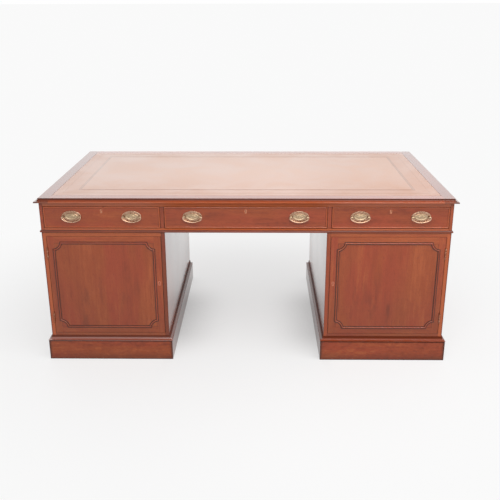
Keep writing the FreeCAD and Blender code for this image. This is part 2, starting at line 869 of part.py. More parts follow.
def door_nodes():
    nodes = {}
    for place, s in (("left", LEFT), ("right", RIGHT)):
        for face in ("front", "back"):
            groups = door(-s if face == "back" else s)
            for part, group in zip(("frame", "panel", "moulding", "brass"), groups):
                turned = [turned_back(solid) for solid in group] if face == "back" else group
                nodes[f"{face}_{place}_door_{part}"] = turned
    return nodes


def carcass_nodes():
    pegs = dowels()
    nodes = top_pieces(pegs)
    nodes["frieze_rails"] = frieze_rails(pegs)
    nodes["frieze_uprights"] = frieze_uprights()
    nodes["drawer_runners"] = drawer_runners()
    nodes["frieze_astragal"] = frieze_astragal()
    nodes["pedestal_sides"] = pedestal_sides(leaf_recesses())
    nodes["pedestal_boards"] = pedestal_boards(pegs)
    nodes["cupboard_shelves"] = cupboard_shelves()
    nodes["plinth_boards"] = plinth_boards()
    nodes["plinth_caps"] = plinth_caps()
    nodes["hinge_fixed_leaves"] = fixed_leaves()
    nodes["fixing_dowels"] = pegs
    return nodes


def main():
    os.makedirs("parts", exist_ok=True)
    for name, solids in {**carcass_nodes(), **drawer_nodes(), **door_nodes()}.items():
        shape = solids[0] if len(solids) == 1 else Part.makeCompound(solids)
        shape.exportStep(f"parts/{name}.step")


main()
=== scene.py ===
import bpy
import math
from mathutils import Matrix, Vector


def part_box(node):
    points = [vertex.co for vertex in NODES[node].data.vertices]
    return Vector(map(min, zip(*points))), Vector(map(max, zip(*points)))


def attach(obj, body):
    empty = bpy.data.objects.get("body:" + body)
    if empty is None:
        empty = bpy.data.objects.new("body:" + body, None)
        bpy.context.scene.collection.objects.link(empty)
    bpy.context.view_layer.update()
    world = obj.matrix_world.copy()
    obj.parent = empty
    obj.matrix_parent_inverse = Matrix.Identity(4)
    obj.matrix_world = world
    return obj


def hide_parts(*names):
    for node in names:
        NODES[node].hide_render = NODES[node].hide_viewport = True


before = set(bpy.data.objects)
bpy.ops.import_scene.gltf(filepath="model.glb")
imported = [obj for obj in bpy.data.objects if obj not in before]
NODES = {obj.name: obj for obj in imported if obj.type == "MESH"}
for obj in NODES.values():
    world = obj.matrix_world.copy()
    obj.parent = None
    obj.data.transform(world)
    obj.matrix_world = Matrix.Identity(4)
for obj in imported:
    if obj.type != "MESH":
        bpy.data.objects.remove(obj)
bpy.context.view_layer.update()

# Places read from the frame, in metres
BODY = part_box("frieze_uprights")[1]
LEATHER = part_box("leather_writing_surface")[1]
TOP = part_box("top_border")[1]
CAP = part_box("plinth_caps")[1]
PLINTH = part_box("plinth_boards")[1]
ASTRAGAL_LOW, ASTRAGAL_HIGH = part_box("frieze_astragal")
DOOR_LOW, DOOR_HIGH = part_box("front_right_door_frame")
DOOR_MIDDLE = (DOOR_LOW + DOOR_HIGH) / 2
DOOR_HALF = (DOOR_HIGH - DOOR_LOW) / 2
FIELD_LOW, FIELD_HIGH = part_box("front_right_door_moulding")
FIELD_MIDDLE = (FIELD_LOW + FIELD_HIGH) / 2
FIELD_HALF = (FIELD_HIGH - FIELD_LOW) / 2
KNEEHOLE = DOOR_LOW.x  # the doors' edges beside the kneehole

# Camera that matches the photograph, fitted to the desk's corners in a frame of 500 pixels
CAMERA_PLACE = Vector((0.0611, -3.3979, 1.5674))
CAMERA_PITCH, CAMERA_YAW, CAMERA_ROLL = (math.radians(a) for a in (19.6113, -0.8453, -0.1454))
FOCAL_PIXELS = 700.22
FRAME_PIXELS = 500
SENSOR_WIDTH = 36.0

# Colours, linear
WOOD_DARK = (0.230, 0.038, 0.010, 1)
WOOD_RED = (0.345, 0.054, 0.017, 1)
WOOD_AMBER = (0.330, 0.064, 0.015, 1)
WOOD_LIGHT = (0.430, 0.096, 0.026, 1)
# A lighter tone for painted highlights, painted light and lighter edges
WOOD_HONEY = (0.570, 0.130, 0.036, 1)
# Dark stain, also used for painted shade in hollows and from the shade masks
WOOD_STAIN_AND_SHADE = (0.065, 0.014, 0.006, 1)
WOOD_PORE = (0.075, 0.014, 0.007, 1)
LEATHER_DARK = (0.375, 0.169, 0.092, 1)
LEATHER_LIGHT = (0.458, 0.229, 0.135, 1)
LEATHER_OUTER = (0.332, 0.114, 0.039, 1)
LEATHER_CREASE = (0.25, 0.11, 0.06, 1)
LEATHER_TOOLED = (0.20, 0.072, 0.027, 1)
BRASS_DULL = (0.52, 0.30, 0.19, 1)
BRASS_BRIGHT = (0.76, 0.50, 0.36, 1)
BRASS_OLIVE = (0.40, 0.30, 0.19, 1)
BRASS_TARNISH_AND_SHADE = (0.10, 0.055, 0.030, 1)
BRASS_INLAID = (0.62, 0.25, 0.14, 1)
BRASS_DOOR = (0.60, 0.20, 0.12, 1)
BRASS_LOCK = (0.62, 0.43, 0.21, 1)
HINGE_BROWN = (0.30, 0.10, 0.05, 1)
HINGE_BRIGHT = (0.85, 0.52, 0.36, 1)
OAK_DARK = (0.40, 0.225, 0.100, 1)
OAK_LIGHT = (0.56, 0.360, 0.190, 1)
OAK_PORE_AND_SHADE = (0.24, 0.135, 0.06, 1)

# Levels of a noise, or of how open a hollow is, between which one tone gives way to the next
NOISE_MIDDLE = (0.3, 0.7)
NOISE_MEAN = 0.5  # where a noise neither lightens nor darkens
RED_TO_AMBER = (0.35, 0.65)
DARK_TO_MIDDLE = (0.34, 0.50)
MIDDLE_TO_LIGHT = (0.49, 0.66)
WOOD_PORES = (0.56, 0.70)
WOOD_EDGES = (0.45, 0.97)
WOOD_HOLLOWS = (0.3, 0.9)
PANEL_SMUDGES = (0.50, 0.70)
OAK_FLECKS = (0.55, 0.75)
BRASS_RUBBED = (0.35, 0.7)
BRASS_HOLLOWS = (0.30, 0.85)
HINGE_RUBBED = (0.50, 0.66)

# Shares of the full stain or painted shade, coat, roughness or relief that a mark takes
PORE_STAIN = 0.55
PORE_RELIEF = 0.6
STREAK_RELIEF = 0.3
CAP_SIDE_SHADE = 0.6
CAP_SIDE_DULLNESS = 0.35
RAIL_POLISH = 0.8
CREASE_STAIN = 0.25
CREASE_RELIEF = 0.3
TOOLED_STAIN = 0.9
OUTER_LINE_STAIN = 0.6
# How much more painted shade a door's frame takes towards its foot than its panel does
FRAME_FOOT = 1.8

# Widths that tell apart boards that share a node, in metres
DOOR_STILE = 0.031
FRIEZE_END = 0.030

# Where finishes, painted shade and painted light start and end, in metres from the place that each comment
# names
PLINTH_FOOT_SHADE = (0.0, 0.045)             # the floor
PLINTH_FOOT = (0.003, 0.007)            # the floor
PLINTH_CORNER = (0.002, 0.018)          # a plinth's upright corners, inwards
CAP_TOP_STAIN_AND_SHADE = (-0.012, -0.008)            # the top of a cap
CAP_POLISH = (-0.013, -0.006)           # the top of a cap
CAP_RETURN = (-0.004, 0.0)              # the front of the body
SIDE_FOOT = (0.0, 0.30)                 # the top of a cap
SIDE_EDGE = (0.0002, 0.0015)            # the front of the body, inwards
SIDE_ARRIS = (0.003, 0.006)             # the ends of the body, inwards
SIDE_CORNER = 0.03                      # the ends of the body, inwards
SIDE_MIDDLE = 0.1                       # the middle of the desk
DOOR_FOOT = (0.0, 0.30)                 # the foot of a door
DOOR_EDGE = (0.0, 0.003)                # a door's edges, inwards
PANEL_FOOT = 0.05                       # the foot of a door's field, upwards
PANEL_HEAD = 0.08                       # the head of a door's field, downwards
BEAD_OUT = (0.0, 0.0012)                # the front of the body
MOULDING_FLAT = (0.0012, 0.0030)        # the front of the body
LOCK_BACK = (-0.008, -0.004)            # the front of the body
LOCK_SIDE = (-0.01, 0.0)                # the middle of a door
ASTRAGAL_QUIRK = (0.005, 0.008)         # the foot of the astragal
RAIL_FOOT = 0.02                        # the head of the astragal, upwards
RAIL_HEAD = 0.05                        # the top of the desk, downwards
KNEEHOLE_BLUR = (-0.10, 0.10)           # the sides of the kneehole
TOP_FLAT = (-0.0010, -0.0003)           # the top of the desk
TOP_UNDER_LIP = (-0.0110, -0.0035)      # the top of the desk
TOP_TIP_HEIGHT = (-0.0030, -0.0020)     # the top of the desk
TOP_LIP = (-0.0140, -0.0090)            # the top of the desk
TOP_ARRIS = (-0.0165, -0.0150)          # the outline of the top
TOP_TIPS = (0.014, 0.028)               # the short ends of the top, inwards
TOP_ENDS = (0.0, 0.002)                 # the short ends of the leather, outwards
PLATE_INLAY = (0.0005, 0.0008)          # the front of the body
PLATE_CHANNEL_START = (0.0008, 0.0012)  # the front of the body
PLATE_CHANNEL_END = (0.0014, 0.0020)    # the front of the body
PLATE_BOSS = (0.0026, 0.0034)           # the front of the body

# How far round a point its hollows and edges are felt, in metres
EDGE_REACH = 0.006
BRASS_REACH = 0.004
OAK_REACH = 0.02
# Rays that feel for them
HOLLOW_SAMPLES = 6

# How far the grain moves between pieces that share a finish, along each axis
PIECE_SHIFT = (7.0, 3.0, 1.0)

# Tooled lines on the leather, by their distance from its edge, and that edge, in metres
TOOLED_LINE = 0.0385
TOOLED_BAND = (0.0945, 0.1035)
TOOLED_HALF = 0.0014
TOOLED_DEPTH = 0.0003
CHAIN_HALF = 0.0036
CHAIN_PITCH = 0.012
HIDE_EDGE_WIDTH = 0.0015
HIDE_EDGE_DROP = 0.0008
HIDE_RIM = (0.0, 0.004)
# Parts of a tooled line's half width that its full colour and its flat floor take
TOOLED_CORE = 0.7
GROOVE_FLOOR = 0.5
# Pebbles of the leather, and how much of one its crease takes
PEBBLES_PER_METRE = 620.0
PEBBLE_CREASE = (0.0, 0.25)

# Softened edges of the boards
SOFT_EDGE = 0.0005
SOFT_EDGE_ANGLE = math.radians(40)
WELD_DISTANCE = 0.00001

# Studio: brightness beside a white card, and distances in metres
WORLD_FILL = 0.45
FLOOR_REACH = 400.0
FLOOR_GREY = 0.80
FLOOR_DRIFT = 0.01
FLOOR_BOUNCE = 0.20
FLOOR_FADE = (0.6, 2.2)
GROUND_WHITE = 0.95
KNEEHOLE_SHADE = 0.45
KNEEHOLE_SHADE_EDGE = (0.0, 0.03)
KNEEHOLE_SHADE_MIDDLE = -0.06
KNEEHOLE_SHADE_ENDS = (0.15, 0.46)
KNEEHOLE_SHADE_REACH = 0.28
KNEEHOLE_SHADE_OPEN = (0.4, 1.0)
# Lamps: place, what each points at, width and height, and brightness
SOFTBOXES = {
    "key_softbox": ((0.8, -1.5, 2.5), (0.1, -0.4, 0.5), (3.4, 0.9), 5.4),
    "front_softbox": ((1.7, -3.6, 2.0), (0.1, -0.5, 0.5), (9.0, 4.6), 0.77),
    "back_softbox": ((0.0, 4.6, 2.2), (0.0, 0.0, 0.8), (7.0, 2.6), 0.75),
    "rear_softbox": ((-1.2, 3.4, 3.1), (0.0, 0.5, 0.4), (4.0, 1.2), 1.8),
}


class Graph:
    """A material's node tree, built from short calls that return sockets."""

    def __init__(self, name):
        self.material = bpy.data.materials.new(name)
        self.material.use_nodes = True
        self.tree = self.material.node_tree
        self.shader = self.tree.nodes["Principled BSDF"]
        self.place = self.node("ShaderNodeTexCoord").outputs["Object"]
        self.x, self.y, self.z = self.node("ShaderNodeSeparateXYZ", (), {0: self.place}).outputs
        self.out_x = self.math("ABSOLUTE", self.x)
        self.out_y = self.math("ABSOLUTE", self.y)

    def put(self, socket, value):
        """Links a socket or sets a plain value."""
        if isinstance(value, bpy.types.NodeSocket):
            self.tree.links.new(value, socket)
        else:
            socket.default_value = value

    def node(self, kind, settings=(), inputs=()):
        made = self.tree.nodes.new(kind)
        for key, value in dict(settings).items():
            setattr(made, key, value)
        for key, value in dict(inputs).items():
            self.put(made.inputs[key], value)
        return made

    def math(self, operation, *values):
        return self.node("ShaderNodeMath", {"operation": operation}, enumerate(values)).outputs[0]

    def plus(self, first, second):
        return self.math("ADD", first, second)

    def minus(self, first, second):
        return self.math("SUBTRACT", first, second)

    def times(self, first, second):
        return self.math("MULTIPLY", first, second)

    def larger(self, first, second):
        return self.math("MAXIMUM", first, second)

    def smaller(self, first, second):
        return self.math("MINIMUM", first, second)

    def beyond(self, value, limit):
        """1 where a value is greater than a limit, and 0 elsewhere."""
        return self.math("GREATER_THAN", value, limit)

    def off(self, value, middle):
        """How far a value lies from a middle, either way."""
        return self.math("ABSOLUTE", self.minus(value, middle))

    def vector(self, *values):
        return self.node("ShaderNodeCombineXYZ", (), enumerate(values)).outputs[0]

    def vector_math(self, operation, first, second):
        return self.node("ShaderNodeVectorMath", {"operation": operation}, {0: first, 1: second}).outputs[0]

    def noise(self, place, cycles, detail=3.0, roughness=0.55, distortion=0.0):
        """Noise with about so many cycles in a metre along each axis."""
        inputs = {"Vector": self.vector_math("MULTIPLY", place, cycles), "Scale": 1.0, "Detail": detail,
                  "Roughness": roughness, "Distortion": distortion}
        return self.node("ShaderNodeTexNoise", (), inputs).outputs["Fac"]

    def ramp(self, value, low, high, to_low=0.0, to_high=1.0):
        """A smooth change from one result to another, while a value goes from low to high."""
        inputs = {"Value": value, "From Min": low, "From Max": high, "To Min": to_low, "To Max": to_high}
        return self.node("ShaderNodeMapRange", {"interpolation_type": "SMOOTHSTEP"}, inputs).outputs[0]

    def rise(self, value, low, high, strength=1.0):
        """A strength that grows from 0 while a value goes from low to high."""
        return self.ramp(value, low, high, 0.0, strength)

    def fall(self, value, low, high, strength=1.0):
        """A strength that shrinks to 0 while a value goes from low to high."""
        return self.ramp(value, low, high, strength, 0.0)

    def spread(self, noise, to_low=0.0, to_high=1.0):
        """The middle levels of a noise, spread between two results."""
        return self.ramp(noise, *NOISE_MIDDLE, to_low, to_high)

    def mix(self, factor, first, second):
        """A colour between two others."""
        made = self.node("ShaderNodeMix", {"data_type": "RGBA"})
        for index, value in ((0, factor), (6, first), (7, second)):
            self.put(made.inputs[index], value)
        return made.outputs[2]

    def choose(self, factor, first, second):
        """The first vector where the factor is 0, and the second where it is 1."""
        made = self.node("ShaderNodeMix", {"data_type": "VECTOR"})
        for index, value in ((0, factor), (4, first), (5, second)):
            self.put(made.inputs[index], value)
        return made.outputs[1]

    def hollow(self, reach, inside=False):
        """How open a point is to its surroundings within a reach, 0 to 1."""
        return self.node("ShaderNodeAmbientOcclusion", {"samples": HOLLOW_SAMPLES, "inside": inside},
                         {"Distance": reach}).outputs["AO"]

    def bump(self, height, distance, strength):
        inputs = {"Height": height, "Distance": distance, "Strength": strength}
        return self.node("ShaderNodeBump", (), inputs).outputs["Normal"]

    def finish(self, **inputs):
        """Fills the shader's inputs, with their names' spaces written as underscores."""
        for key, value in inputs.items():
            self.put(self.shader.inputs[key.replace("_", " ")], value)
        return self.material


# Grain directions: coordinates whose third axis runs along the grain
def along_x(g):
    return g.vector(g.y, g.z, g.x)


def along_y(g):
    return g.vector(g.x, g.z, g.y)


def along_z(g):
    return g.vector(g.x, g.y, g.z)


def mitred(middle_x, half_x, half_y):
    """Along Y on the short lengths of a mitred frame, along X on the long ones."""
    def grain(g):
        beyond_x = g.minus(g.off(g.out_x, middle_x), half_x)
        beyond_y = g.minus(g.out_y, half_y)
        return g.choose(g.beyond(beyond_x, beyond_y), along_x(g), along_y(g))
    return grain


def framed(g):
    """Upright and level lengths of a door's moulding, parted on the diagonals of its field."""
    beyond_x = g.minus(g.off(g.out_x, FIELD_MIDDLE.x), FIELD_HALF.x)
    beyond_z = g.minus(g.off(g.z, FIELD_MIDDLE.z), FIELD_HALF.z)
    return g.choose(g.beyond(beyond_x, beyond_z), along_x(g), along_z(g))


def stiled(g):
    """Upright over the whole height of a door's stiles, level between them."""
    on_stile = g.beyond(g.off(g.out_x, DOOR_MIDDLE.x), DOOR_HALF.x - DOOR_STILE)
    return g.choose(on_stile, along_x(g), along_z(g))


def crossed(g):
    """Along Y on the frieze's two ends, upright on the dividers between the drawers."""
    at_end = g.beyond(g.out_x, BODY.x - FRIEZE_END)
    return g.choose(at_end, along_z(g), along_y(g))


# Masks: how strongly a stain or painted shade, a lighter tone or painted light, a polish or a dullness
# shows at a point
def near(edge, band):
    """The start and end of a band that is measured from an edge."""
    return edge + band[0], edge + band[1]


def proud(g):
    """How far a point stands out of the drawer fronts and doors."""
    return g.minus(g.out_y, BODY.y)


def behind(g):
    """1 on what lies within or behind a drawer front or a door, such as its lock."""
    return g.fall(proud(g), *LOCK_BACK)


def foot_shade_and_corners(g):
    """Painted shade towards the floor, and darker towards a plinth's upright corners."""
    foot = g.larger(g.fall(g.z, *PLINTH_FOOT_SHADE, strength=0.5), g.fall(g.z, *PLINTH_FOOT, strength=0.85))
    from_corner = g.minus(PLINTH.x - DOOR_MIDDLE.x, g.off(g.out_x, DOOR_MIDDLE.x))
    return g.larger(foot, g.fall(from_corner, *PLINTH_CORNER, strength=0.6))


def returned(g):
    """1 on the sides of a cap and 0 along its front and back."""
    return g.fall(g.out_y, *near(BODY.y, CAP_RETURN))


def cap_stain_and_shade(g):
    """Darker along the top of a cap moulding, as stain and painted shade in its quirk, and painted shade on
    its sides.
    """
    along_top = g.rise(g.z, *near(CAP.z, CAP_TOP_STAIN_AND_SHADE), strength=0.5)
    return g.larger(g.times(returned(g), CAP_SIDE_SHADE), along_top)


def faced(g):
    """Polish along the front and back of the pedestals, where a cap is most rubbed, worn off at one end."""
    lower = g.ramp(g.z, *near(CAP.z, CAP_POLISH), to_low=1.0, to_high=0.2)
    kept = g.ramp(g.x, -KNEEHOLE, KNEEHOLE, to_low=0.85, to_high=0.10)
    return g.times(lower, g.ramp(g.out_y, *near(BODY.y, CAP_RETURN), to_low=0.42, to_high=kept))


def dusty(g):
    """Duller along the sides of the pedestals, where a cap is seldom rubbed."""
    return g.times(returned(g), CAP_SIDE_DULLNESS)


def edged(g):
    """1 on the front and back edges of the pedestals' sides."""
    return g.fall(g.minus(BODY.y, g.out_y), *SIDE_EDGE)


def kneehole_edge_shade(g):
    """Painted shade on those edges beside the kneehole, most on its left."""
    beside = g.fall(g.x, -KNEEHOLE, KNEEHOLE, strength=0.4)
    return g.times(edged(g), g.fall(g.out_x, KNEEHOLE, DOOR_MIDDLE.x, strength=beside))


def lighter_side_edges(g):
    """Lighter on those edges: the outer corners, and as painted light the kneehole's edges on its right."""
    inset = g.minus(BODY.x, g.out_x)
    corner = g.fall(inset, SIDE_CORNER, BODY.x - DOOR_MIDDLE.x, strength=0.65)
    outer = g.times(g.rise(inset, *SIDE_ARRIS), corner)
    inner = g.times(g.beyond(g.x, 0.0), g.fall(g.x, KNEEHOLE, DOOR_MIDDLE.x, strength=0.12))
    return g.times(edged(g), g.larger(outer, inner))


def flanked(g):
    """Polish on the broad faces of the pedestals' sides, less towards their foot and ends."""
    upper = g.ramp(g.z, *near(CAP.z, SIDE_FOOT), to_low=0.5, to_high=0.8)
    middle = g.ramp(g.out_y, SIDE_MIDDLE, BODY.y, to_low=1.0, to_high=0.8)
    return g.times(g.times(upper, middle), g.minus(1.0, edged(g)))


def low_board_shade(g):
    """Painted shade: darker on the boards under the doors than on those over them."""
    return g.fall(g.z, DOOR_LOW.z, DOOR_HIGH.z, strength=0.35)


def door_foot_shade(g):
    """Painted shade: a little darker towards the foot of a door."""
    return g.fall(g.z, *near(DOOR_LOW.z, DOOR_FOOT), strength=0.12)


def smudges_and_foot_shade(g):
    """Dark smudges along the grain in the lower half of a panel, and painted shade at its foot."""
    smudges = g.rise(g.noise(g.place, (24, 24, 5), roughness=0.6), *PANEL_SMUDGES, strength=0.4)
    lower = g.ramp(g.z, FIELD_LOW.z + PANEL_FOOT, FIELD_HIGH.z - PANEL_HEAD, to_low=1.0, to_high=0.1)
    return g.larger(door_foot_shade(g), g.times(smudges, lower))


def rim_stain_and_foot_shade(g):
    """Dark stain along a door's outer edges, and painted shade towards its foot."""
    from_side = g.minus(DOOR_HALF.x, g.off(g.out_x, DOOR_MIDDLE.x))
    from_head = g.minus(DOOR_HALF.z, g.off(g.z, DOOR_MIDDLE.z))
    edge = g.fall(g.smaller(from_side, from_head), *DOOR_EDGE, strength=0.1)
    return g.larger(edge, g.times(door_foot_shade(g), FRAME_FOOT))


def quirk_stain_and_shade(g):
    """Dark on the flats either side of a bead, which stand lower than the bead itself: stain and painted
    shade in the quirks.
    """
    return g.fall(proud(g), *MOULDING_FLAT, strength=0.95)


def painted_bead_highlight(g):
    """Painted highlight on the cockbeads round a drawer, where they stand out."""
    return g.rise(proud(g), *BEAD_OUT, strength=0.3)


def astragal_quirk_shade(g):
    """Painted shade in the quirk along the top of the astragal, and a little below it."""
    return g.ramp(g.z, *near(ASTRAGAL_LOW.z, ASTRAGAL_QUIRK), to_low=0.08, to_high=0.75)


def apart(g):
    """1 over the pedestals and 0 over the kneehole."""
    return g.rise(g.out_x, *near(KNEEHOLE, KNEEHOLE_BLUR))


def glazed(g):
    """Polish on the frieze's rails, worn off over the kneehole."""
    return g.times(apart(g), RAIL_POLISH)


def painted_rail_light(g):
    """Painted light: a lighter, yellower tone all along a rail, less on the lower ones."""
    upper = g.ramp(g.z, ASTRAGAL_HIGH.z + RAIL_FOOT, TOP.z - RAIL_HEAD, to_low=0.4, to_high=1.0)
    return g.times(upper, g.spread(g.noise(g.place, (4, 40, 40)), to_low=0.50, to_high=0.75))


def tipped(g):
    """1 on the short ends of the top, along its lip."""
    return g.fall(g.minus(TOP.x, g.out_x), *TOP_TIPS)


def lip_shade_and_ends(g):
    """Painted shade under the top's arris, fading out towards the lip, and darker on the short ends."""
    outset = g.larger(g.minus(g.out_x, TOP.x), g.minus(g.out_y, TOP.y))
    under = g.times(g.rise(outset, *TOP_ARRIS), g.rise(g.z, *near(TOP.z, TOP_UNDER_LIP), strength=0.97))
    tips = g.times(g.fall(g.z, *near(TOP.z, TOP_TIP_HEIGHT), strength=0.85), tipped(g))
    ends = g.rise(g.minus(g.out_x, LEATHER.x), *TOP_ENDS, strength=0.5)
    return g.larger(g.larger(under, tips), ends)


def painted_lip_highlight(g):
    """Painted highlight on the lip of the top."""
    return g.fall(g.z, *near(TOP.z, TOP_LIP), strength=0.4)


def topped(g):
    """Polish on the flat of the top, less towards the far side, and on its lip over the pedestals."""
    shine = g.ramp(g.y, -TOP.y, TOP.y, to_low=0.38, to_high=0.26)
    flat = g.rise(g.z, *near(TOP.z, TOP_FLAT), strength=shine)
    lip = g.times(apart(g), g.fall(g.z, *near(TOP.z, TOP_LIP), strength=0.8))
    return g.larger(flat, lip)


# Materials
def amount(g, mask):
    """A mask's value in a material, where the mask may also be a plain number."""
    return mask(g) if callable(mask) else mask


def mahogany(name, grain, *, tint=0.0, figure=0.0, edging=0.5, reach=0.010, shade=0.0, lightened=0.0,
             polish=0.0, dull=0.0, gloss=0.5, lacquer=1.5):
    """Polished red mahogany with a drifting tone, ribbon stripes, fine pores, dark stain and painted shade.

    A tint makes it lighter or darker and a figure curls its grain. Stain lies on edges as strongly as
    edging says, painted shade lies in hollows within the reach, and the mask shade adds stain and painted
    shade. Three more masks set its honey tone, which is mostly painted highlights and painted light, its
    coat and what is added to its roughness.
    """
    g = Graph(name)
    own = g.node("ShaderNodeObjectInfo").outputs["Random"]
    shift = g.vector(*(g.times(own, step) for step in PIECE_SHIFT))
    place = g.vector_math("ADD", grain(g), shift)
    broad = g.noise(place, (7, 7, 1.3), roughness=0.5, distortion=0.4)
    warmth = g.noise(place, (11, 11, 2.6), detail=2.0, roughness=0.5)
    ribbon = g.noise(place, (55, 55, 2.2), detail=4.0, roughness=0.6, distortion=0.5)
    streak = g.noise(place, (330, 330, 9), roughness=0.6)
    pores = g.noise(place, (1300, 1300, 55), detail=2.0, roughness=0.6)
    mottle = g.noise(place, (26, 26, 9), distortion=0.8)
    tone = tint
    for layer, share in ((broad, 0.36), (ribbon, 0.24), (streak, 0.18), (mottle, 0.22)):
        tone = g.plus(tone, g.times(layer, share))
    if figure:
        curl = g.noise(place, (34, 34, 22), roughness=0.6, distortion=1.6)
        tone = g.plus(tone, g.times(g.minus(curl, NOISE_MEAN), figure))
    middle = g.mix(g.ramp(warmth, *RED_TO_AMBER), WOOD_RED, WOOD_AMBER)
    base = g.mix(g.ramp(tone, *DARK_TO_MIDDLE), WOOD_DARK, middle)
    base = g.mix(g.ramp(tone, *MIDDLE_TO_LIGHT), base, WOOD_LIGHT)
    pore = g.ramp(pores, *WOOD_PORES)
    base = g.mix(g.times(pore, PORE_STAIN), base, WOOD_PORE)
    worn = g.spread(g.noise(g.place, (40, 40, 40)), to_low=0.6, to_high=1.0)
    edge = g.fall(g.hollow(EDGE_REACH, inside=True), *WOOD_EDGES, strength=edging)
    base = g.mix(g.times(edge, worn), base, WOOD_STAIN_AND_SHADE)
    # Honey tone from a mask: painted highlights and painted light, and lighter edges
    base = g.mix(amount(g, lightened), base, WOOD_HONEY)
    # Stain and painted shade from the shade mask
    base = g.mix(amount(g, shade), base, WOOD_STAIN_AND_SHADE)
    # Painted shade in hollows, within the reach
    base = g.mix(g.fall(g.hollow(reach), *WOOD_HOLLOWS, strength=0.9), base, WOOD_STAIN_AND_SHADE)
    rough = g.spread(g.noise(g.place, (3, 3, 3)), to_low=0.14, to_high=0.19)
    relief = g.minus(g.times(streak, STREAK_RELIEF), g.times(pore, PORE_RELIEF))
    return g.finish(Base_Color=base, Roughness=g.plus(rough, amount(g, dull)),
                    Normal=g.bump(relief, distance=0.0001, strength=0.05),
                    Coat_Weight=amount(g, polish), Coat_Roughness=0.12, Coat_IOR=lacquer,
                    Specular_IOR_Level=gloss)


def oak(name, grain):
    """Plain planed oak for the linings, runners and shelves, with painted shade in its hollows."""
    g = Graph(name)
    place = grain(g)
    broad = g.noise(place, (12, 12, 2))
    flecks = g.noise(place, (520, 520, 22))
    base = g.mix(g.spread(broad), OAK_DARK, OAK_LIGHT)
    base = g.mix(g.rise(flecks, *OAK_FLECKS, strength=0.5), base, OAK_PORE_AND_SHADE)
    # Painted shade in hollows
    base = g.mix(g.fall(g.hollow(OAK_REACH), *WOOD_HOLLOWS, strength=0.35), base, OAK_PORE_AND_SHADE)
    rough = g.ramp(flecks, low=0.3, high=0.8, to_low=0.48, to_high=0.66)
    return g.finish(Base_Color=base, Roughness=rough, Normal=g.bump(flecks, distance=0.0003, strength=0.4))


def leather():
    """Tan hide with a pebbled grain, darker round its edge and in front, and tooled lines."""
    g = Graph("tooled_leather")
    inset = g.smaller(g.minus(LEATHER.x, g.out_x), g.minus(LEATHER.y, g.out_y))

    def line(middle, half):
        return g.fall(g.off(inset, middle), half * TOOLED_CORE, half)

    tone = g.noise(g.place, (5, 5, 5), detail=4.0, roughness=0.6, distortion=0.5)
    base = g.mix(g.spread(tone), LEATHER_DARK, LEATHER_LIGHT)
    base = g.mix(g.fall(inset, *TOOLED_BAND, strength=0.45), base, LEATHER_OUTER)
    base = g.mix(g.fall(g.y, -LEATHER.y, 0.0, strength=0.60), base, LEATHER_OUTER)
    cells = g.node("ShaderNodeTexVoronoi", {"feature": "DISTANCE_TO_EDGE"},
                   {"Vector": g.place, "Scale": PEBBLES_PER_METRE}).outputs["Distance"]
    crease = g.fall(cells, *PEBBLE_CREASE)
    base = g.mix(g.times(crease, CREASE_STAIN), base, LEATHER_CREASE)
    band = g.larger(*(line(middle, TOOLED_HALF) for middle in TOOLED_BAND))
    wave = g.math("SINE", g.times(g.plus(g.x, g.y), 2 * math.pi / CHAIN_PITCH))
    links = g.ramp(wave, low=-0.6, high=0.6, to_low=0.35, to_high=0.8)
    chain = g.times(line(sum(TOOLED_BAND) / 2, CHAIN_HALF), links)
    outer_line = g.times(line(TOOLED_LINE, TOOLED_HALF), OUTER_LINE_STAIN)
    tooled = g.larger(g.larger(band, chain), outer_line)
    base = g.mix(g.times(tooled, TOOLED_STAIN), base, LEATHER_TOOLED)
    base = g.mix(g.fall(inset, *HIDE_RIM, strength=0.8), base, LEATHER_TOOLED)
    rough = g.spread(tone, to_low=0.30, to_high=0.42)
    relief = g.minus(g.times(crease, -CREASE_RELIEF), tooled)
    return g.finish(Base_Color=base, Roughness=rough, Normal=g.bump(relief, distance=0.0002, strength=0.35),
                    Coat_Weight=0.3, Coat_Roughness=0.3)


def tarnished_and_shaded(g, base):
    """A brass colour with tarnish and painted shade in its hollows."""
    return g.mix(g.fall(g.hollow(BRASS_REACH), *BRASS_HOLLOWS, strength=0.9), base, BRASS_TARNISH_AND_SHADE)


def handle_brass(name, aged):
    """Lacquered brass, pink on the rim, brown in the channel within it as tarnish and painted shade, and
    aged to olive on the boss.
    """
    g = Graph(name)
    out = proud(g)
    wear = g.noise(g.place, (160, 160, 160), detail=4.0, roughness=0.6)
    base = g.mix(g.ramp(wear, *BRASS_RUBBED), BRASS_DULL, BRASS_BRIGHT)
    base = g.mix(g.rise(out, *PLATE_BOSS, strength=aged), base, BRASS_OLIVE)
    # Tarnish and painted shade in the channel round the boss
    channel = g.times(g.rise(out, *PLATE_CHANNEL_START), g.fall(out, *PLATE_CHANNEL_END, strength=0.45))
    base = g.mix(channel, base, BRASS_TARNISH_AND_SHADE)
    base = g.mix(g.fall(out, *PLATE_INLAY), base, g.mix(behind(g), BRASS_INLAID, BRASS_LOCK))
    rough = g.spread(wear, to_low=0.20, to_high=0.34)
    dents = g.noise(g.place, (500, 500, 500))
    return g.finish(Base_Color=tarnished_and_shaded(g, base), Roughness=rough, Metallic=1.0,
                    Normal=g.bump(dents, distance=0.00005, strength=0.2))


def hinge_brass():
    """Old brass gone brown, with the metal showing where it has rubbed, and a redder escutcheon."""
    g = Graph("hinge_brass")
    wear = g.noise(g.place, (210, 210, 90), detail=4.0, roughness=0.65)
    base = g.mix(g.ramp(wear, *HINGE_RUBBED), HINGE_BROWN, HINGE_BRIGHT)
    lock_side = g.fall(g.out_x, *near(DOOR_MIDDLE.x, LOCK_SIDE))
    base = g.mix(lock_side, base, g.mix(behind(g), BRASS_DOOR, BRASS_LOCK))
    rough = g.ramp(wear, low=0.4, high=0.7, to_low=0.45, to_high=0.25)
    return g.finish(Base_Color=tarnished_and_shaded(g, base), Roughness=rough, Metallic=1.0,
                    Normal=g.bump(wear, distance=0.0001, strength=0.3))


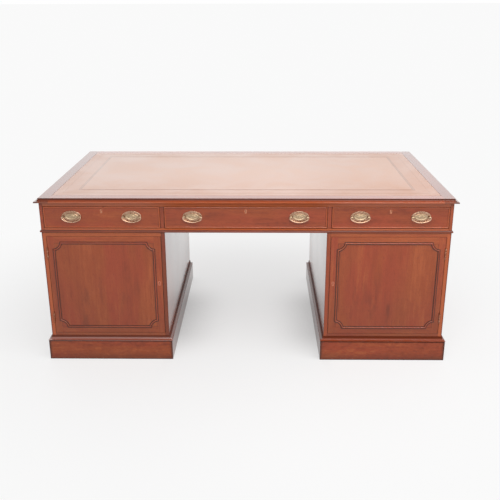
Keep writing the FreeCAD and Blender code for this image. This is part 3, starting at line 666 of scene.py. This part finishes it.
# Finishes, and the nodes that take each by the end of their names
plinth_grain = mitred(DOOR_MIDDLE.x, BODY.x - DOOR_MIDDLE.x, BODY.y)
border_grain = mitred(0.0, LEATHER.x, LEATHER.y)
astragal_grain = mitred(0.0, BODY.x, BODY.y)
brown_brass = hinge_brass()
cross_oak = oak("oak_along_x", along_x)
deep_oak = oak("oak_along_y", along_y)
hide_leather = leather()
FINISHES = (
    ("leather_writing_surface", hide_leather),
    ("top_core_panel", cross_oak),
    ("top_border", mahogany("mahogany_border", border_grain, tint=-0.14, edging=0.0, shade=lip_shade_and_ends,
                            lightened=painted_lip_highlight, polish=topped, gloss=0.2)),
    # The frieze's lighter tint is also painted light, where the top's lip shades the rails
    ("frieze_rails", mahogany("mahogany_frieze", along_x, tint=0.10, edging=0.1, reach=0.004,
                              lightened=painted_rail_light, polish=glazed, gloss=0.2)),
    ("frieze_uprights", mahogany("mahogany_uprights", crossed)),
    ("drawer_runners", deep_oak),
    ("frieze_astragal", mahogany("mahogany_astragal", astragal_grain, tint=-0.1, edging=0.0, reach=0.006,
                                 shade=astragal_quirk_shade, dull=0.25)),
    ("pedestal_sides", mahogany("mahogany_sides", along_z, tint=-0.06, edging=0.8, shade=kneehole_edge_shade,
                                lightened=lighter_side_edges, polish=flanked)),
    ("pedestal_boards", mahogany("mahogany_level", along_x, tint=0.12, edging=0.1, reach=0.005,
                                 shade=low_board_shade)),
    ("cupboard_shelves", cross_oak),
    ("plinth_boards", mahogany("mahogany_plinth", plinth_grain, tint=-0.03, figure=0.45, edging=0.8,
                               reach=0.006, shade=foot_shade_and_corners, gloss=0.42)),
    ("plinth_caps", mahogany("mahogany_cap", plinth_grain, tint=-0.25, edging=0.0, reach=0.008,
                             shade=cap_stain_and_shade, polish=faced, dull=dusty, gloss=0.05, lacquer=2.1)),
    ("hinge_fixed_leaves", brown_brass),
    ("fixing_dowels", deep_oak),
    ("_drawer_front", mahogany("mahogany_drawer", along_x, tint=-0.05, figure=0.15, edging=0.0,
                               reach=0.006, lightened=painted_bead_highlight)),
    ("_drawer_box", deep_oak),
    ("_drawer_brass", handle_brass("plate_brass", aged=0.9)),
    ("_bail", handle_brass("bail_brass", aged=0.2)),
    ("_door_frame", mahogany("mahogany_stiles", stiled, tint=0.06, edging=0.0, reach=0.004, shade=rim_stain_and_foot_shade)),
    ("_door_panel", mahogany("mahogany_panel", along_z, tint=0.03, shade=smudges_and_foot_shade)),
    ("_door_moulding", mahogany("mahogany_bead", framed, tint=-0.03, edging=0.0, reach=0.004,
                                shade=quirk_stain_and_shade)),
    ("_door_brass", brown_brass),
)
SOFTENED = ("frieze_rails", "frieze_uprights", "pedestal_sides", "pedestal_boards", "cupboard_shelves",
            "_door_panel", "_drawer_box", "drawer_runners", "top_core_panel")


def soften(obj):
    """Takes the sharpness off a board's edges."""
    weld = obj.modifiers.new("weld", "WELD")
    weld.merge_threshold = WELD_DISTANCE
    bevel = obj.modifiers.new("soft_edges", "BEVEL")
    bevel.width = SOFT_EDGE
    bevel.segments = 2
    bevel.limit_method = "ANGLE"
    bevel.angle_limit = SOFT_EDGE_ANGLE
    bevel.harden_normals = True


def dress():
    """Gives every node its finish, and the boards their softened edges."""
    for name, obj in NODES.items():
        finish = next(material for ending, material in FINISHES if name.endswith(ending))
        obj.data.materials.clear()
        obj.data.materials.append(finish)
        if name.endswith(SOFTENED):
            soften(obj)


def groove(middle):
    """Insets and heights of a line pressed into the hide."""
    floor = TOOLED_HALF * GROOVE_FLOOR
    return [(middle - TOOLED_HALF, 0.0), (middle - floor, -TOOLED_DEPTH),
            (middle + floor, -TOOLED_DEPTH), (middle + TOOLED_HALF, 0.0)]


def add_hide(material):
    """The leather as its own piece: edges pressed down at the joint and tooled lines sunk into it."""
    low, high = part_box("leather_writing_surface")
    rings = [(0.0, low.z - high.z), (0.0, -HIDE_EDGE_DROP), (HIDE_EDGE_WIDTH, 0.0)]
    for middle in (TOOLED_LINE, *TOOLED_BAND):
        rings += groove(middle)
    points = []
    for inset, height in rings:
        x, y, z = high.x - inset, high.y - inset, high.z + height
        points += [(-x, -y, z), (x, -y, z), (x, y, z), (-x, y, z)]
    faces = [(3, 2, 1, 0)]
    last = 4 * (len(rings) - 1)
    for start in range(0, last, 4):
        for side in range(4):
            following = (side + 1) % 4
            faces.append((start + side, start + following, start + following + 4, start + side + 4))
    faces.append((last, last + 1, last + 2, last + 3))
    data = bpy.data.meshes.new("leather_hide")
    data.from_pydata(points, [], faces)
    data.materials.append(material)
    hide = bpy.data.objects.new("leather_hide", data)
    bpy.context.scene.collection.objects.link(hide)
    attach(hide, "carcass")
    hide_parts("leather_writing_surface")


# Studio
def add_camera():
    """The fitted camera, turned by its yaw and pitch and then by its roll."""
    forward = Vector((math.sin(CAMERA_YAW) * math.cos(CAMERA_PITCH),
                      math.cos(CAMERA_YAW) * math.cos(CAMERA_PITCH), -math.sin(CAMERA_PITCH)))
    level = Vector((math.cos(CAMERA_YAW), -math.sin(CAMERA_YAW), 0))
    above = level.cross(forward)
    right = math.cos(CAMERA_ROLL) * level + math.sin(CAMERA_ROLL) * above
    up = -math.sin(CAMERA_ROLL) * level + math.cos(CAMERA_ROLL) * above
    turn = Matrix((right, up, -forward)).transposed().to_4x4()
    data = bpy.data.cameras.new("camera")
    data.sensor_width = SENSOR_WIDTH
    data.lens = FOCAL_PIXELS * SENSOR_WIDTH / FRAME_PIXELS
    camera = bpy.data.objects.new("camera", data)
    camera.matrix_world = Matrix.Translation(CAMERA_PLACE) @ turn
    bpy.context.scene.collection.objects.link(camera)
    bpy.context.scene.camera = camera


def add_softbox(name, place, target, size, radiance):
    """A rectangular lamp that is as bright as a white card lit to the given level."""
    data = bpy.data.lights.new(name, "AREA")
    data.shape = "RECTANGLE"
    data.size, data.size_y = size
    data.energy = radiance * math.pi * size[0] * size[1]
    light = bpy.data.objects.new(name, data)
    light.location = place
    light.rotation_euler = (Vector(target) - Vector(place)).to_track_quat("-Z", "Y").to_euler()
    light.visible_camera = False
    bpy.context.scene.collection.objects.link(light)


def seen_directly(tree):
    """1 for rays from the camera, from gloss or through glass, and 0 for rays that gather light."""
    path = tree.nodes.new("ShaderNodeLightPath").outputs
    seen = path["Is Camera Ray"]
    for ray in ("Is Glossy Ray", "Is Transmission Ray"):
        either = tree.nodes.new("ShaderNodeMath")
        either.operation = "MAXIMUM"
        tree.links.new(seen, either.inputs[0])
        tree.links.new(path[ray], either.inputs[1])
        seen = either.outputs[0]
    return seen


def add_world():
    """White where it is seen, softer as fill light."""
    world = bpy.data.worlds.new("studio")
    world.use_nodes = True
    tree = world.node_tree
    level = tree.nodes.new("ShaderNodeMapRange")
    level.inputs["To Min"].default_value = WORLD_FILL
    level.inputs["To Max"].default_value = 1.0
    tree.links.new(seen_directly(tree), level.inputs["Value"])
    tree.links.new(level.outputs[0], tree.nodes["Background"].inputs["Strength"])
    tree.nodes["Background"].inputs["Color"].default_value = (1, 1, 1, 1)
    bpy.context.scene.world = world


def floor_material():
    """Pale grey that fades into white further off, with a painted soft shadow between the pedestals."""
    g = Graph("studio_floor")
    away = g.node("ShaderNodeVectorMath", {"operation": "LENGTH"}, {0: g.place}).outputs["Value"]
    seen = seen_directly(g.tree)
    faded = g.times(g.ramp(away, *FLOOR_FADE, to_low=0.65, to_high=1.0), seen)
    drift = g.spread(g.noise(g.place, (0.8, 0.8, 0.8), detail=2.0), FLOOR_GREY - FLOOR_DRIFT,
                     FLOOR_GREY + FLOOR_DRIFT)
    level = g.ramp(seen, 0.0, 1.0, FLOOR_BOUNCE, drift)
    g.finish(Base_Color=g.vector(level, level, level), Roughness=0.7)
    # Painted shadow between the pedestals, taken out of the floor's glow
    across = g.fall(g.out_x, *near(KNEEHOLE, KNEEHOLE_SHADE_EDGE), strength=KNEEHOLE_SHADE)
    from_middle = g.off(g.y, KNEEHOLE_SHADE_MIDDLE)
    between = g.times(across, g.ramp(from_middle, *KNEEHOLE_SHADE_ENDS, to_low=1.0, to_high=0.1))
    shade = g.times(between, g.fall(g.hollow(KNEEHOLE_SHADE_REACH), *KNEEHOLE_SHADE_OPEN))
    white = g.times(GROUND_WHITE, g.minus(1.0, shade))
    glow = g.node("ShaderNodeEmission", (), {"Color": g.vector(white, white, white)})
    blend = g.node("ShaderNodeMixShader", (), {0: faded, 1: g.shader.outputs[0], 2: glow.outputs[0]})
    g.tree.links.new(blend.outputs[0], g.tree.nodes["Material Output"].inputs["Surface"])
    return g.material


def add_floor():
    """A wide floor that holds the desk's shadow."""
    far = FLOOR_REACH
    data = bpy.data.meshes.new("studio_floor")
    data.from_pydata([(-far, -far, 0), (far, -far, 0), (far, far, 0), (-far, far, 0)], [], [(0, 1, 2, 3)])
    data.materials.append(floor_material())
    floor = bpy.data.objects.new("studio_floor", data)
    bpy.context.scene.collection.objects.link(floor)


dress()
add_hide(hide_leather)
add_camera()
add_world()
add_floor()
for lamp, settings in SOFTBOXES.items():
    add_softbox(lamp, *settings)
bpy.context.scene.view_settings.view_transform = "Standard"
